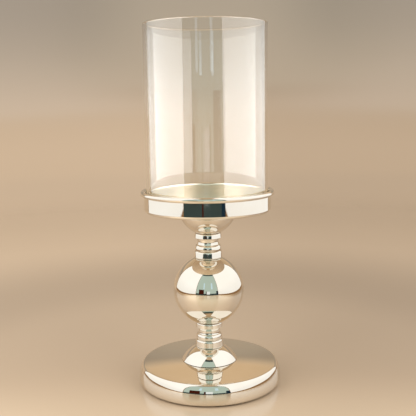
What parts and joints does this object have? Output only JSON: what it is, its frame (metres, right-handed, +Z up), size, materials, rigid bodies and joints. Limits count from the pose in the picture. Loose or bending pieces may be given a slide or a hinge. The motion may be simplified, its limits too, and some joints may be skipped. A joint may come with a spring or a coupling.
{
  "type": "hurricane candle holder",
  "caption": "Hurricane candle holder: a clear glass cylinder stands in a rimmed dish on a turned silver stem with a ball, over a round base.",
  "frame": {"origin": "middle of the felt foot, on the surface that the holder stands on", "axes": "+Z up along the axis of the stem, the dish and the glass; the holder is round about it, so X and Y are alike"},
  "size_m": [0.1524, 0.1524, 0.3773],
  "materials": {
    "silver_plate": "polished warm silver plate, a clear mirror with fine hairlines",
    "clear_glass": "clear blown glass, rounded lips",
    "zinc_steel": "zinc-plated steel, threaded",
    "cast_iron": "rough sand-cast iron",
    "fibreboard": "brown hardboard, matt",
    "felt": "dark green felt"
  },
  "bodies": {
    "holder": {"felt_pad": "felt", "bottom_board": "fibreboard", "base_shell": "silver_plate", "ballast_disc": "cast_iron", "rod_washer": "zinc_steel", "rod_nut": "zinc_steel", "tie_rod": "zinc_steel", "lower_dome": "silver_plate", "lower_neck_collar": "silver_plate", "lower_neck_spool": "silver_plate", "lower_neck_bead": "silver_plate", "globe_lower_half": "silver_plate", "globe_upper_half": "silver_plate", "upper_neck_collar": "silver_plate", "upper_neck_spool": "silver_plate", "upper_neck_bead": "silver_plate", "upper_cup": "silver_plate", "tray_boss": "zinc_steel", "tray": "silver_plate"},
    "glass": {"glass_cylinder": "clear_glass"}
  },
  "joints": [
    {"name": "glass_lift", "type": "slide", "parent": "holder", "child": "glass", "axis": [0, 0, 1], "range_m": [0, 0.2]}
  ]
}
